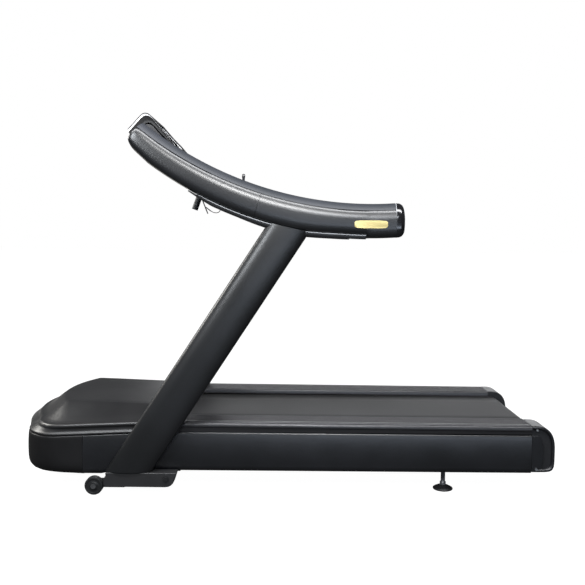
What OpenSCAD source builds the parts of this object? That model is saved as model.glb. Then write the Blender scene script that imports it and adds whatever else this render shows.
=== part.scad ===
// Motor-driven gym treadmill: flat belt deck, slanted posts, curved hand rails, console.
// Millimetres. X runs from the hood (front) to the open end of the belt (rear), Y across
// and Z up. The origin is on the floor under the middle of the machine. A user faces -X,
// so the left side is -Y. Every side piece is drawn on the +Y side and mirrored for the left.

/* [Running surface] */
// Width of the running belt
belt_w = 520; // [500:5:520]
// Thickness of the running belt
belt_t = 2.6; // [2:0.1:2.6]
// Radius of both rollers
roller_r = 42; // [41:0.5:42]
// Height of both roller axes above the floor
roller_z = 205; // [204:0.5:206]
// X of the front roller's axis
front_roller_x = -700; // [-704:1:-696]
// X of the rear roller's axis
rear_roller_x = 978; // [972:1:980]
// Thickness of the deck board
deck_t = 25; // [18:1:25]

/* [Frame] */
// Distance from the middle to the inner face of a side rail
rail_y = 305; // [304:1:306]
// Width of a side rail
rail_w = 50; // [48:1:50]
// Underside of the side rails
rail_z0 = 108; // [106:1:108]
// Top of the side rails
rail_z1 = 190; // [186:1:190]
// Wall of the rail and cross tubes
tube_wall = 4; // [3:0.5:5]

/* [Drive] */
// X of the motor's axis
motor_x = -880; // [-882:1:-878]
// Height of the motor's axis
motor_z = 178; // [176:1:179]
// Radius of the motor's body
motor_r = 62; // [58:1:62]
// Radius of the flywheel
flywheel_r = 68; // [60:1:68]
// Radius of the pulley on the motor shaft
motor_pulley_r = 24; // [20:1:26]
// Radius of the pulley on the front roller
roller_pulley_r = 48; // [44:1:48]

/* [Lift] */
// X of the lift pivot
lift_x = -432; // [-434:1:-430]
// Height of the lift pivot
lift_z = 71; // [70:0.5:71]
// X of the front wheels' axis
wheel_x = -712; // [-714:1:-710]
// Radius of the front wheels, which is also their axis height
wheel_r = 35; // [34:0.5:35]
// Swing of the lift levers in degrees, from lowest to highest
lift_swing = 37; // [36:1:37]

/* [Covers] */
// Half width over the hood and side panels
body_hw = 399; // [397:1:399]
// Wall of the moulded covers
shell_t = 4; // [3:0.5:4]
// Height of the seam between the hood and the lower cover
waist_z = 222; // [220:1:223]
// Top of the hood's flat top
hood_top = 321; // [316:1:323]
// Foremost point of the lower cover
nose_x = -1068; // [-1068:1:-1066]

/* [Posts and hand rails] */
// Width of a post, seen from the side
post_w = 149; // [140:1:150]
// Thickness of a post
post_t = 62; // [56:1:62]
// X of the post's middle at the height post_ref_z
post_ref_x = -572; // [-574:1:-570]
// Lean of the posts from vertical, in degrees
post_lean = 33; // [32.5:0.1:33.5]
// Outer face of the hand rails, from the middle
arm_outer = 465; // [463:1:465]
// Width of a hand rail
arm_w = 100; // [98:1:100]
// Radius of the hand rail's upper curve
arm_top_r = 1370; // [1368:1:1372]
// Radius of the hand rail's lower curve
arm_low_r = 1400; // [1398:1:1402]

/* [Console] */
// Half width of the console's raised middle
visor_hw = 170; // [150:1:190]
// Radius of a bottle well
bottle_r = 39; // [36:1:40]
// Radius of the stop button's head
stop_r = 20; // [16:1:20]

/* [Feet] */
// X of the rear feet
foot_x = 645; // [640:1:650]
// Radius of a rear foot's pad
foot_r = 39; // [34:1:40]

/* [Hidden] */

$fn = 64;
fit = 0.06;             // radial clearance of a running fit
gap = 0.4;              // gap between covers
belt_gap = 0.4;         // gap between belt and roller

belt_in_r = roller_r + belt_gap;
belt_out_r = belt_in_r + belt_t;
deck_top = roller_z + belt_in_r - 0.4;
deck_hw = rail_y + 40;
deck_x0 = front_roller_x + 60;
deck_x1 = rear_roller_x - 63;
rail_mid = rail_y + rail_w / 2;
rail_out = rail_y + rail_w;
rail_x0 = -960;
rail_x1 = rear_roller_x + 32;
member_w = 38;
member_z0 = 112;
member_h = 40;
member_x = [-990, -790, -579, -110, 300, 580, 900];
roller_hw = belt_w / 2 + 8;
axle_r = 10;
bearing_r = 21;
bearing_w = 14;
ear_t = 8;
ear_r = 26;
pulley_y = roller_hw + 2;
pulley_w = 22;

crank_z = 48.7;                              // height of the crank pin above the pivot
crank_x = crank_z * tan(lift_swing / 2);     // its offset behind the pivot at rest
pin_x = lift_x + crank_x;
pin_z = lift_z + crank_z;
pin_r = 6;
lift_tube_r = 14;
lever_y0 = 405;
lever_y1 = 455;

hood_rear_x = -430;
hood_flat_hw = 250;
tub_rear_x = -764;
tub_form_x = tub_rear_x + 60;                // the tub's form before its rear is cut
panel_top = 233;
panel_z0 = 88;
rail_end_x = rear_roller_x - 6;
cap_outer = 400;
cap_inner = roller_hw + 4;
cap_screw_at = [[991, 256], [991, 102]];
cap_screw_r = 5;

post_y0 = body_hw + 2;
post_z0 = 95;
post_ref_z = 103;
arm_cx = 330;
arm_top_cz = 2487;
arm_low_cz = 2388;
arm_inner = arm_outer - arm_w;
arm_end_x = 396;
arm_end_z = 1054;
arm_end_r = 64.5;
arm_wall = 4;
cap_strip = 27;         // depth of the hand rail's top strip
cap_face_x = 425;       // where the rear end cap begins
arm_nose = [[-480, 900], [-480, 1243], [-526, 1285], [-551, 1309], [-563, 1325], [-568, 1340],
    [-566, 1354], [-554, 1375], [-500, 1427], [-480, 1508]];
seam_angle = 16.8;
seam_cz = 2437;

face_top = [-541, 1478];                     // upper edge of the console's face
lens_hw = 148;
trim_w = 15;                                 // width of the trim's runs beside the lens
face_angle = 48.7;                           // its slope below horizontal
tray_slope = 27.5;                           // slope of the tray's top below horizontal
well_x = -355;
well_y = 235;
well_z = 1202.3;
stop_axis_x = -367;
stop_axis_z = 1144;
stop_tilt = 20;
stop_travel = 6;
stop_flange = 93;
bar_x = -151;
bar_z = 1178;
bar_r = 18;
stick_y = 300;
stick_top = 1235;
lanyard_r = 1.6;
lanyard = [[-311, 0, 1101], [-306, 0, 1098], [-300, 0, 1095.5], [-294, 0, 1094],
    [-288, 0, 1093.5], [-282, 0, 1094.5], [-277, 0, 1097], [-273, 0, 1101],
    [-270.5, 0, 1106], [-269.5, 0, 1112], [-269.5, 0, 1118], [-269.5, 0, 1124]];

// ---- helpers ----

// Extrudes an outline given in X and Z from y0 to y1
module along_y(y0, y1)
    translate([0, y1, 0]) rotate([90, 0, 0]) linear_extrude(y1 - y0) children();

// A round bar along Y
module y_bar(x, z, r, y0, y1)
    translate([x, y0, z]) rotate([-90, 0, 0]) cylinder(h = y1 - y0, r = r);

// A rectangle in X and Z between two corners
module xz_rect(x0, z0, x1, z1)
    translate([x0, z0]) square([x1 - x0, z1 - z0]);

// Places the +Y piece on side s: 1 is right, -1 is left
module on_side(s)
    mirror([0, s < 0 ? 1 : 0, 0]) children();

module both_sides() {
    children();
    mirror([0, 1, 0]) children();
}

// ---- frame ----

module axle_ear(x)
    along_y(rail_y, rail_y + ear_t) {
        xz_rect(x - ear_r, rail_z1 - 6, x + ear_r, roller_z);
        translate([x, roller_z]) circle(r = ear_r);
    }

module lift_hanger(y)
    along_y(y, y + 12) {
        xz_rect(lift_x - 40, lift_z, lift_x + 40, rail_z0 + 1);
        translate([lift_x, lift_z]) circle(r = 26);
    }

module frame_side(s)
    color("#26282b") on_side(s) difference() {
        union() {
            difference() {
                along_y(rail_y, rail_out) xz_rect(rail_x0, rail_z0, rail_x1, rail_z1);
                along_y(rail_y + tube_wall, rail_out - tube_wall)
                    xz_rect(rail_x0 - 1, rail_z0 + tube_wall, rail_x1 + 1, rail_z1 - tube_wall);
            }
            axle_ear(front_roller_x);
            axle_ear(rear_roller_x);
            lift_hanger(rail_y);
            lift_hanger(rail_out - 12);
            translate([foot_x, rail_mid, rail_z0 - 8]) cylinder(h = 60, r = 16);
        }
        y_bar(front_roller_x, roller_z, axle_r + 0.03, rail_y - 1, rail_y + ear_t + 1);
        y_bar(rear_roller_x, roller_z, axle_r + 0.03, rail_y - 1, rail_y + ear_t + 1);
        y_bar(lift_x, lift_z, lift_tube_r + fit, rail_y - 1, rail_out + 1);
        translate([foot_x, rail_mid, rail_z0 - 20]) cylinder(h = 75, r = 9 + fit);
    }

module frame_cross_members()
    color("#26282b") for (x = member_x)
        translate([x, -rail_y, member_z0]) difference() {
            cube([member_w, 2 * rail_y, member_h]);
            translate([tube_wall, -1, tube_wall])
                cube([member_w - 2 * tube_wall, 2 * rail_y + 2, member_h - 2 * tube_wall]);
        }

module running_deck()
    color("#3b2f26") translate([deck_x0, -deck_hw, deck_top - deck_t])
        cube([deck_x1 - deck_x0, 2 * deck_hw, deck_t]);

module deck_cushions()
    color("#1b1b1b") both_sides() for (i = [0 : 5])
        translate([deck_x0 + 60 + i * (deck_x1 - deck_x0 - 120) / 5, rail_mid - 5, rail_z1])
            cylinder(h = deck_top - deck_t - rail_z1, r = 18);

// ---- belt and rollers ----

module loop_outline(r) {
    translate([front_roller_x, roller_z]) circle(r = r);
    translate([rear_roller_x, roller_z]) circle(r = r);
    xz_rect(front_roller_x, roller_z - r, rear_roller_x, roller_z + r);
}

module running_belt()
    color("#35363a") along_y(-belt_w / 2, belt_w / 2) difference() {
        loop_outline(belt_out_r);
        loop_outline(belt_in_r);
    }

module roller(x)
    difference() {
        y_bar(x, roller_z, roller_r, -roller_hw, roller_hw);
        y_bar(x, roller_z, roller_r - 6, -roller_hw + 24, roller_hw - 24);
        y_bar(x, roller_z, bearing_r + fit, -roller_hw - 1, roller_hw + 1);
    }

module front_roller()
    color("#8d9196") difference() {
        union() {
            roller(front_roller_x);
            difference() {
                y_bar(front_roller_x, roller_z, roller_pulley_r, pulley_y, pulley_y + pulley_w);
                for (i = [0 : 4])
                    translate([front_roller_x, pulley_y + 3 + 4 * i, roller_z])
                        rotate([-90, 0, 0]) difference() {
                            cylinder(h = 2, r = roller_pulley_r + 1);
                            translate([0, 0, -1]) cylinder(h = 4, r = roller_pulley_r - 2);
                        }
            }
            y_bar(front_roller_x, roller_z, 30, roller_hw - 1, pulley_y + 1);
        }
        y_bar(front_roller_x, roller_z, bearing_r + fit, roller_hw - 20, pulley_y + pulley_w + 1);
    }

module rear_roller()
    color("#8d9196") roller(rear_roller_x);

module roller_axles()
    color("#a9adb2") for (x = [front_roller_x, rear_roller_x])
        y_bar(x, roller_z, axle_r, -rail_y - ear_t - 2, rail_y + ear_t + 2);

module roller_bearings()
    color("#c2c5c9") both_sides() for (x = [front_roller_x, rear_roller_x]) difference() {
        y_bar(x, roller_z, bearing_r, roller_hw - bearing_w, roller_hw - 1);
        y_bar(x, roller_z, axle_r + 0.02, roller_hw - bearing_w - 1, roller_hw);
    }

module tension_bolts()
    color("#b5b8bb") both_sides() translate([rear_roller_x + ear_r + 1, rail_mid, rail_z1 - 25]) {
        translate([-30, 0, 0]) rotate([0, 90, 0]) cylinder(h = 50, r = 5);
        translate([20, 0, 0]) rotate([0, 90, 0]) cylinder(h = 7, r = 9, $fn = 6);
    }

// ---- motor ----

module drive_motor()
    color("#1f2022") difference() {
        union() {
            y_bar(motor_x, motor_z, motor_r, -104, 104);
            y_bar(motor_x, motor_z, motor_r - 10, -120, 120);
        }
        y_bar(motor_x, motor_z, 9 + fit, -121, 121);
        y_bar(motor_x, motor_z, 44, -98, 98);
    }

module motor_rotor()
    color("#9b9ea2") {
        y_bar(motor_x, motor_z, 9, -194, pulley_y + pulley_w + 2);
        y_bar(motor_x, motor_z, 40, -90, 90);
        difference() {
            y_bar(motor_x, motor_z, motor_pulley_r, pulley_y, pulley_y + pulley_w);
            for (i = [0 : 4])
                translate([motor_x, pulley_y + 3 + 4 * i, motor_z]) rotate([-90, 0, 0])
                    difference() {
                        cylinder(h = 2, r = motor_pulley_r + 1);
                        translate([0, 0, -1]) cylinder(h = 4, r = motor_pulley_r - 2);
                    }
        }
    }

module motor_flywheel()
    color("#6d7075") difference() {
        y_bar(motor_x, motor_z, flywheel_r, -190, -155);
        y_bar(motor_x, motor_z, flywheel_r - 14, -191, -178);
        y_bar(motor_x, motor_z, 9.02, -195, -150);
    }

module drive_loop(extra)
    hull() {
        translate([motor_x, motor_z]) circle(r = motor_pulley_r + extra, $fn = 96);
        translate([front_roller_x, roller_z]) circle(r = roller_pulley_r + extra, $fn = 96);
    }

module drive_belt()
    color("#151515") along_y(pulley_y + 2, pulley_y + pulley_w - 2) difference() {
        drive_loop(3.5);
        drive_loop(0.5);
    }

module motor_bracket()
    color("#303236") difference() {
        union() {
            translate([-985, -125, member_z0 - 6]) cube([230, 385, 6]);
            for (y = [-95, 70])
                translate([motor_x - 42, y, member_z0]) cube([84, 25, motor_z - member_z0 - 36]);
        }
        y_bar(motor_x, motor_z, motor_r + 0.1, -126, 126);
    }

module motor_controller()
    color("#3a4a3e") translate([motor_x - 65, 135, member_z0]) {
        cube([130, 118, 20]);
        for (i = [0 : 8])
            translate([i * 15.5, 0, 20]) cube([6, 118, 26]);
    }

// ---- lift ----

module lever_outline()
    difference() {
        polygon([[-669, 46], [-663, 40], [-436, 39], [-418, 43], [-405, 53], [-393, 90], [-669, 90]]);
        translate([-675, 84]) circle(r = 14);
    }

module crank_outline()
    difference() {
        union() {
            circle(r = 22);
            rotate(-lift_swing / 2) translate([-13, 0]) square([26, crank_z + 16]);
        }
        rotate(-lift_swing / 2) {
            translate([0, crank_z - 2]) circle(r = pin_r + 0.7);
            translate([0, crank_z + 4]) circle(r = pin_r + 0.7);
            translate([-pin_r - 0.7, crank_z - 2]) square([2 * pin_r + 1.4, 6]);
        }
    }

module lift_frame()
    color("#1c1d1f") difference() {
        union() {
            y_bar(lift_x, lift_z, lift_tube_r, -lever_y1 + 1, lever_y1 - 1);
            y_bar(wheel_x + 72, 58, 12, -lever_y0 - 1, lever_y0 + 1);
            both_sides() {
                along_y(lever_y0, lever_y1) lever_outline();
                along_y(lever_y0 - 9, lever_y0 + 1) {
                    xz_rect(wheel_x, wheel_r - 14, -600, wheel_r + 20);
                    translate([wheel_x, wheel_r]) circle(r = 14);
                    translate([-600, wheel_r + 6]) circle(r = 14);
                }
                translate([lift_x, 0, lift_z]) along_y(24, 30) crank_outline();
            }
        }
        both_sides() y_bar(wheel_x, wheel_r, pin_r + 0.02, lever_y0 - 10, lever_y0 + 2);
    }

module lift_pivot_bolts()
    color("#b5b8bb") both_sides() translate([lift_x, lever_y1, lift_z]) rotate([-90, 0, 0]) {
        cylinder(h = 2, r = 12);
        cylinder(h = 7, r = 9.5, $fn = 6);
    }

module wheel_axles()
    color("#a9adb2") both_sides() {
        y_bar(wheel_x, wheel_r, pin_r, lever_y0 - 9, lever_y0 + 37);
        y_bar(wheel_x, wheel_r, 10, lever_y0 + 34, lever_y0 + 37);
    }

module front_wheel(s)
    color("#2a2b2d") on_side(s) difference() {
        union() {
            y_bar(wheel_x, wheel_r, wheel_r, lever_y0 + 5, lever_y0 + 31);
            y_bar(wheel_x, wheel_r, 14, lever_y0 + 3, lever_y0 + 33);
        }
        translate([wheel_x, lever_y0 + 27, wheel_r]) rotate([-90, 0, 0]) difference() {
            cylinder(h = 10, r = wheel_r - 8);
            translate([0, 0, -1]) cylinder(h = 12, r = 14);
        }
        y_bar(wheel_x, wheel_r, pin_r + fit, lever_y0, lever_y0 + 40);
    }

module lift_actuator()
    color("#2f3134") difference() {
        union() {
            translate([-385, 0, pin_z]) rotate([0, 90, 0]) cylinder(h = 200, r = 19);
            translate([-196, -42, pin_z - 26]) cube([86, 84, 52]);
            translate([-330, 0, pin_z - 1]) translate([134, 68, 0]) rotate([0, 90, 0])
                cylinder(h = 86, r = 27);
        }
        translate([-386, 0, pin_z]) rotate([0, 90, 0]) cylinder(h = 190, r = 11 + fit);
    }

module lift_tube()
    color("#a9adb2") {
        translate([pin_x, 0, pin_z]) rotate([0, 90, 0]) cylinder(h = 165, r = 11);
        y_bar(pin_x, pin_z, 13, -22, 22);
        y_bar(pin_x, pin_z, pin_r, -35, 35);
        both_sides() y_bar(pin_x, pin_z, 9, 32, 35);
    }

// ---- covers ----

// Rounded nose in plan: half width hw, foremost point at x, straight sides to x_rear
module nose_plan(x, hw, x_rear, corner) {
    bow = 700;
    side = hw - corner;
    back = bow - sqrt(bow * bow - side * side);
    hull() {
        intersection() {
            translate([x + bow, 0]) circle(r = bow, $fn = 180);
            translate([x, -side]) square([back + corner, 2 * side]);
        }
        for (s = [-1, 1])
            translate([x + back + corner * 0.95, s * side]) circle(r = corner, $fn = 48);
        translate([x_rear - 1, -hw]) square([1, 2 * hw]);
    }
}

module slab(z)
    translate([0, 0, z]) linear_extrude(0.5) children();

// Convex hood form; t moves every face inwards
module hood_form(t, z0)
    hull() {
        slab(z0) nose_plan(nose_x + 6 + t, body_hw - 2 - t, hood_rear_x, 90);
        slab(254 - t / 2) nose_plan(-1026 + t, body_hw - t, hood_rear_x, 90);
        slab(276 - t) nose_plan(-992 + t, body_hw - 16 - t, hood_rear_x, 90);
        translate([-902, 0, hood_top - t]) rotate([0, 1.4, 0]) translate([0, 0, -0.5])
            linear_extrude(0.5) {
                translate([0, 30 - hood_flat_hw]) square([470, 2 * hood_flat_hw - 60]);
                translate([30, -hood_flat_hw]) square([440, 2 * hood_flat_hw]);
            }
    }
module hood_cover()
    color("#3d3e40") difference() {
        hood_form(0, waist_z + gap / 2);
        translate([0, 0, -1]) hood_form(shell_t, waist_z - 2);
        translate([hood_rear_x - 12, -belt_w / 2 - 3, waist_z - 1])
            cube([20, belt_w + 6, 262 - waist_z]);
    }

module tub_form(t, z1)
    hull() {
        slab(z1 - 0.5) nose_plan(nose_x + 3 + t, body_hw - t, tub_form_x, 90);
        slab(150) nose_plan(nose_x + t, body_hw - t, tub_form_x, 90);
        slab(110) nose_plan(nose_x + 3 + t, body_hw - 1 - t, tub_form_x, 90);
        slab(92) nose_plan(nose_x + 11 + t, body_hw - 4 - t, tub_form_x, 90);
        slab(80 + t) nose_plan(nose_x + 25 + t, body_hw - 10 - t, tub_form_x, 80);
        slab(70 + t) nose_plan(nose_x + 58 + t, body_hw - 22 - t, tub_form_x, 60);
        slab(66 + t) nose_plan(nose_x + 160 + t, body_hw - 34 - t, tub_form_x, 40);
    }

module lower_cover()
    color("#1e1f21") difference() {
        tub_form(0, waist_z - gap / 2);
        translate([0, 0, 1]) tub_form(shell_t, waist_z + 2);
        translate([tub_rear_x, -body_hw - 1, 0]) cube([100, 2 * body_hw + 2, 300]);
        translate([nose_x + 4, 179.5, 109.5]) cube([60, 51, 31]);
    }

module power_inlet()
    color("#101010") difference() {
        translate([nose_x + 20, 180, 110]) cube([32, 50, 30]);
        translate([nose_x + 19, 190, 117]) cube([20, 30, 16]);
    }

module side_panel(s)
    color("#222429") on_side(s) difference() {
        union() {
            along_y(body_hw - 6, body_hw) {
                xz_rect(tub_rear_x + gap, panel_z0, hood_rear_x, waist_z - gap / 2);
                xz_rect(hood_rear_x, panel_z0, rail_end_x, panel_top);
            }
            along_y(rail_out + 6, body_hw)
                xz_rect(tub_rear_x + gap, panel_z0, rail_end_x, panel_z0 + 4);
        }
        along_y(body_hw - 8, body_hw + 2) xz_rect(-613, 108, -527, 188);
    }

// Cross section of a foot rail in Y and Z, swept along X
module foot_rail(s)
    color("#2d2e30") on_side(s)
        translate([hood_rear_x + gap, 0, 0]) rotate([90, 0, 90])
            linear_extrude(rail_end_x - hood_rear_x - 2 * gap)
                difference() {
                    polygon([[262, 252.5], [262, 268], [266, 272], [373, 274], [376, 269],
                        [380, 269], [383, 274], [394, 274], [400, 268], [400, 257],
                        [396, 253.5], [400, 250], [400, 238], [396, 233.6], [361, 233.6],
                        [361, 170], [355, 170], [355, 252.5]]);
                    for (i = [0 : 8])
                        translate([276 + i * 10.5, 273.6]) circle(r = 1.8);
                }

// Side outline of a rear end cap; t moves it inwards
module cap_outline(t)
    difference() {
        union() {
            xz_rect(rail_end_x + gap, panel_z0 + 2 + t, 1016, 272 - t);
            translate([1016, 236]) circle(r = 36 - t);
            translate([1020, 172]) circle(r = 42 - t);
            translate([1030, 119]) circle(r = 29 - t);
            xz_rect(1016, 119, 1040, 236);
            polygon([[1040, 119], [1059 - t, 119], [1062 - t, 172], [1052 - t, 236], [1040, 236]]);
        }
    }

module rear_end_caps()
    color("#232427") both_sides() difference() {
        along_y(cap_inner, cap_outer) cap_outline(0);
        along_y(cap_inner + 3, cap_outer - shell_t) difference() {
            cap_outline(shell_t);
            xz_rect(1012, 200, 1100, 300);
        }
        along_y(cap_inner + 3, cap_outer - shell_t)
            xz_rect(rail_end_x - 2, panel_z0 + 6, rail_end_x + 20, 268);
        along_y(cap_inner + 3, cap_outer - shell_t) xz_rect(1000, 190, 1040, 240);
        y_bar(rear_roller_x, roller_z, 34, cap_inner - 1, cap_inner + 4);
        for (p = cap_screw_at)
            y_bar(p[0], p[1], cap_screw_r, cap_outer - 4, cap_outer + 1);
    }

module rear_cross_cover()
    color("#1e1f21") along_y(-cap_inner + gap, cap_inner - gap)
        polygon([[1028, 186], [1047, 184], [1056, 172], [1052, 117], [1045, 98], [1020, 92],
            [960, 92], [960, 96], [1018, 96], [1041, 102], [1048, 119], [1052, 171],
            [1045, 180], [1028, 182]]);

module cap_screws()
    color("#c8cacc") both_sides() for (p = cap_screw_at)
        difference() {
            y_bar(p[0], p[1], cap_screw_r, cap_outer - 4, cap_outer + 1.5);
            y_bar(p[0], p[1], 2.2, cap_outer, cap_outer + 3);
        }

// ---- feet ----

module rear_foot(s)
    color("#1b1c1e") on_side(s) translate([foot_x, rail_mid, 0]) {
        cylinder(h = 7, r = foot_r);
        rotate_extrude() polygon([[0, 6], [foot_r - 1, 6], [foot_r - 12, 15], [13, 19], [0, 19]]);
        cylinder(h = 150, r = 9);
    }

module foot_lock_nuts()
    color("#9a9da1") both_sides() translate([foot_x, rail_mid, 0]) difference() {
        union() {
            translate([0, 0, 84]) cylinder(h = 16, r = 14.4, $fn = 6);
            translate([0, 0, 82]) cylinder(h = 2, r = 16);
        }
        cylinder(h = 120, r = 9.1);
    }

// ---- posts ----

module post_section(inset) {
    r = post_t / 2 - inset;
    half = post_w / 2 - post_t / 2;
    translate([-half, 0]) circle(r = r);
    translate([half, 0]) circle(r = r);
    translate([-half, -r]) square([2 * half, 2 * r]);
}

module post(s)
    color("#24262a") on_side(s) difference() {
        translate([post_ref_x, post_y0 + post_t / 2, post_ref_z]) rotate([0, post_lean, 0])
            translate([0, 0, -120]) linear_extrude(1350) post_section(0);
        intersection() {
            translate([post_ref_x, post_y0 + post_t / 2, post_ref_z]) rotate([0, post_lean, 0])
                translate([0, 0, -140]) linear_extrude(1400) post_section(4);
            translate([-900, 0, post_z0 + 5]) cube([2000, 600, 1400]);
        }
        translate([-900, 300, -300]) cube([2000, 300, 300 + post_z0]);
        y_bar(arm_cx, arm_low_cz, arm_low_r + 0.3, 300, 600, $fn = 360);
    }

module post_brackets()
    color("#26282b") both_sides() {
        along_y(rail_out, rail_out + 8) xz_rect(-650, 112, -490, 186);
        along_y(rail_out + 7, post_y0) xz_rect(-611, 112, -529, 186);
    }

module post_bolts()
    color("#b5b8bb") both_sides() for (x = [-635, -505], z = [126, 172])
        translate([x, rail_out + 8, z]) rotate([-90, 0, 0]) {
            cylinder(h = 2, r = 10);
            cylinder(h = 9, r = 8, $fn = 6);
        }

// ---- hand rails ----

module disc(cz, r)
    translate([arm_cx, cz]) circle(r = r, $fn = 360);

// Side outline of a whole hand rail; t moves it inwards
module arm_outline(t)
    intersection() {
        difference() {
            disc(arm_low_cz, arm_low_r - t);
            disc(arm_top_cz, arm_top_r + t);
        }
        union() {
            polygon(concat([for (p = arm_nose) [p[0] + t, p[1]]],
                [[arm_end_x, 1508], [arm_end_x, 900]]));
            translate([arm_end_x, arm_end_z]) circle(r = arm_end_r - t);
        }
    }

// Outline of the main shells, below the top strip and ahead of the end cap
module arm_body(t)
    difference() {
        arm_outline(t);
        disc(arm_top_cz, arm_top_r + cap_strip + t);
        xz_rect(cap_face_x - t, 900, 600, 1300);
    }

// The part of the plane ahead of the seam, moved by d
module ahead_of_seam(d)
    translate([arm_cx, seam_cz]) rotate(-seam_angle) translate([-2000 + d, -2000])
        square([2000, 2000]);

module arm_front(s)
    color("#2b2d31") on_side(s) difference() {
        along_y(arm_inner, arm_outer) intersection() {
            arm_body(0);
            ahead_of_seam(-gap / 2);
        }
        along_y(arm_inner + arm_wall, arm_outer - arm_wall) intersection() {
            arm_body(arm_wall);
            ahead_of_seam(5);
        }
    }

module arm_rear(s)
    color("#2b2d31") on_side(s) difference() {
        along_y(arm_inner, arm_outer) difference() {
            arm_body(0);
            ahead_of_seam(gap / 2);
        }
        along_y(arm_inner + arm_wall, arm_outer - arm_wall) difference() {
            arm_body(arm_wall);
            ahead_of_seam(-5);
        }
    }

module arm_caps()
    color("#5d6168") both_sides() along_y(arm_inner, arm_outer) difference() {
        arm_outline(0);
        intersection() {
            difference() {
                disc(arm_low_cz, arm_low_r + 10);
                disc(arm_top_cz, arm_top_r + cap_strip - gap);
            }
            xz_rect(-800, 900, cap_face_x + gap, 1600);
        }
    }

// ---- console ----

// Places children on the console's face: X down the slope, Z out of it
module on_face(u)
    translate([face_top[0], 0, face_top[1]]) rotate([0, face_angle, 0]) translate([u, 0, 0])
        children();

module console_housing()
    color("#1d1e20") hull() {
        along_y(-visor_hw, visor_hw)
            polygon([[-631, 1419], [-563, 1484], [-541, 1478], [-395, 1311.8], [-425, 1290],
                [-560, 1345]]);
        along_y(-arm_inner + gap, arm_inner - gap)
            polygon([[-560, 1392], [-515, 1432], [-500, 1431.3], [-395, 1311.8], [-425, 1290],
                [-530, 1345]]);
    }

module display_lens()
    color("#0b0c0e") on_face(24) translate([0, -lens_hw, 0.2])
        cube([120, 2 * lens_hw, 3]);

module keypad()
    color("#3a3c40") on_face(150) translate([0, -180, 0.2]) {
        cube([52, 360, 2.5]);
        for (i = [0 : 7], j = [0 : 1])
            translate([7 + j * 22, 12 + i * 43, 2.5]) cube([16, 35, 1.2]);
    }

module console_trim()
    color("#c9cbcd") {
        along_y(-visor_hw, visor_hw)
            polygon([[-633.5, 1424], [-584, 1477], [-575, 1487], [-563, 1492], [-551, 1489],
                [-541, 1480], [-541.4, 1479], [-563, 1485], [-570, 1482], [-631, 1420]]);
        for (y = [-visor_hw, visor_hw - trim_w])
            on_face(-3) translate([0, y, 0.4]) cube([115, trim_w, 3.4]);
    }

module tray_outline()
    polygon([[-440, 1226], [-262, 1120], [-254, 1130], [-262, 1192], [-285, 1212],
        [-425, 1285], [-440, 1280], [-456, 1250]]);

// Runs along the stop switch's axis, from the tray's underside up
module on_stop_axis()
    translate([stop_axis_x, 0, stop_axis_z]) rotate([0, stop_tilt, 0]) children();

module accessory_tray()
    color("#1d1e20") difference() {
        along_y(-arm_inner + gap, arm_inner - gap) tray_outline();
        both_sides() translate([well_x, well_y, well_z - 0.3])
            cylinder(h = 120, r = bottle_r + 3.3);
        on_stop_axis() translate([0, 0, -30]) cylinder(h = 160, r = 13.2);
        translate([-274, -4, 1112]) cube([9, 8, 17]);
        on_stop_axis() translate([0, 0, stop_flange - 1]) cylinder(h = 60, r = 26);
    }

module bottle_wells()
    color("#141516") both_sides() translate([well_x, well_y, well_z]) difference() {
        cylinder(h = 100, r = bottle_r + 3);
        translate([0, 0, 3]) cylinder(h = 100, r = bottle_r);
        translate([0, 0, 45.5]) rotate([0, tray_slope, 0]) translate([-90, -80, 0])
            cube([180, 160, 100]);
    }

module hand_bar()
    color("#46494d") difference() {
        union() {
            y_bar(bar_x, bar_z, bar_r, -arm_inner + gap, arm_inner - gap);
            for (y = [-stick_y, stick_y])
                translate([bar_x - 17, y - 20, bar_z]) cube([34, 40, 27]);
        }
        for (y = [-stick_y, stick_y]) {
            translate([bar_x - 13, y - 9, bar_z - 1]) cube([26, 18, 40]);
        }
    }

module joystick(y)
    color("#17181a") translate([bar_x, y, 0]) {
        translate([0, 0, bar_z + 8]) cylinder(h = stick_top - 6.5 - bar_z - 8, r = 6.5);
        translate([0, 0, stick_top - 6.5]) sphere(r = 6.5);
        y_bar(0, bar_z + 8, 6.9, -8, 8);
    }

module stop_switch()
    color("#202124") on_stop_axis() difference() {
        union() {
            translate([0, 0, -40]) cylinder(h = stop_flange + 40, r = 13);
            translate([0, 0, stop_flange]) cylinder(h = 4, r = 25);
        }
        translate([0, 0, 40]) cylinder(h = 80, r = 8 + fit);
    }

module stop_button()
    color("#a81e1e") on_stop_axis() {
        translate([0, 0, 55]) cylinder(h = stop_flange - 45, r = 8);
        translate([0, 0, stop_flange + 5 + stop_travel]) rotate_extrude()
            polygon([[0, 0], [stop_r - 2, 0], [stop_r, 3], [stop_r - 1, 8], [stop_r - 7, 12],
                [0, 13]]);
    }

module clip_jaw(from, to)
    hull() {
        for (p = [from, to])
            translate([p[0], 0, p[1]]) rotate([90, 0, 0])
                cylinder(h = 9, r = 2, center = true, $fn = 24);
    }

module safety_clip()
    color("#141414") {
        clip_jaw([-348.5, 1150], [-325, 1091]);
        clip_jaw([-334, 1118], [-312.8, 1102.1]);
    }

// Tube of radius r swept along points p
function unit(v) = v / norm(v);
function heading(p, i) = unit(p[min(i + 1, len(p) - 1)] - p[max(i - 1, 0)]);
function ring(p, i, r, n) = [for (k = [0 : n - 1])
    let (d = heading(p, i), side = [0, 1, 0], up = cross(d, side))
    p[i] + r * (cos(360 * k / n) * side + sin(360 * k / n) * up)];

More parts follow.
